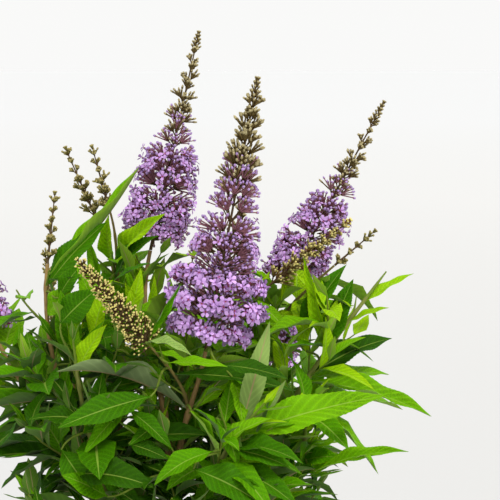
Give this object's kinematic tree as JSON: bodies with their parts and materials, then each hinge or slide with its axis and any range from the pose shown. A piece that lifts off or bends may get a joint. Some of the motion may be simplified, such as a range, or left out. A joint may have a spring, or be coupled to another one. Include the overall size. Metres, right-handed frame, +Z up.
{
  "type": "butterfly bush",
  "caption": "Whole young butterfly bush rooted in the ground: a short trunk, arching boughs, pointed leaves in pairs, and upright flower spikes that taper from lilac blossom to brown buds.",
  "frame": {"origin": "centre of the trunk's flat cut, on the ground", "axes": "+Z up from the ground; -Y the shrub's front, where the largest flower spike stands; +X its right seen from the front"},
  "size_m": [0.321, 0.2952, 0.505],
  "materials": {
    "bark": "furrowed grey-brown bark",
    "cane": "smooth tan and olive young bark",
    "leaf": "soft satin leaf, paler and greyer below",
    "blossom": "matt lilac petals on maroon tubes",
    "bud": "matt olive-brown buds"
  },
  "bodies": {
    "root": {"trunk": "bark", "bough_front": "cane", "bough_front_right": "cane", "bough_right": "cane", "bough_rear_right": "cane", "bough_rear": "cane", "bough_rear_left": "cane", "bough_front_left": "cane", "foliage_front": "leaf", "foliage_middle": "leaf", "foliage_inner_right": "leaf", "foliage_low_front": "leaf", "foliage_low_right": "leaf", "foliage_right": "leaf", "foliage_rear_right": "leaf", "foliage_back_right": "leaf", "foliage_back": "leaf", "foliage_back_left": "leaf", "foliage_upper_left": "leaf", "foliage_far_left": "leaf", "foliage_back_far_left": "leaf", "foliage_left": "leaf", "foliage_front_left": "leaf", "foliage_skirt_front": "leaf", "foliage_skirt_front_right": "leaf", "foliage_skirt_right": "leaf", "foliage_skirt_back_right": "leaf", "foliage_skirt_back": "leaf", "foliage_skirt_back_left": "leaf", "foliage_skirt_left": "leaf", "foliage_skirt_front_left": "leaf", "flower_spike_front": "blossom", "bud_spike_front_side_1": "bud", "flower_spike_middle": "blossom", "flower_spike_rear_right": "blossom", "bud_spike_rear_right_side_1": "bud", "bud_spike_rear_right_side_2": "bud", "flower_spike_back_right": "blossom", "flower_spike_back": "blossom", "flower_spike_back_left": "blossom", "bud_spike_upper_left": "bud", "bud_spike_upper_left_side_1": "bud", "flower_spike_far_left": "blossom", "bud_spike_back_far_left": "bud", "bud_spike_left": "bud"}
  },
  "joints": []
}
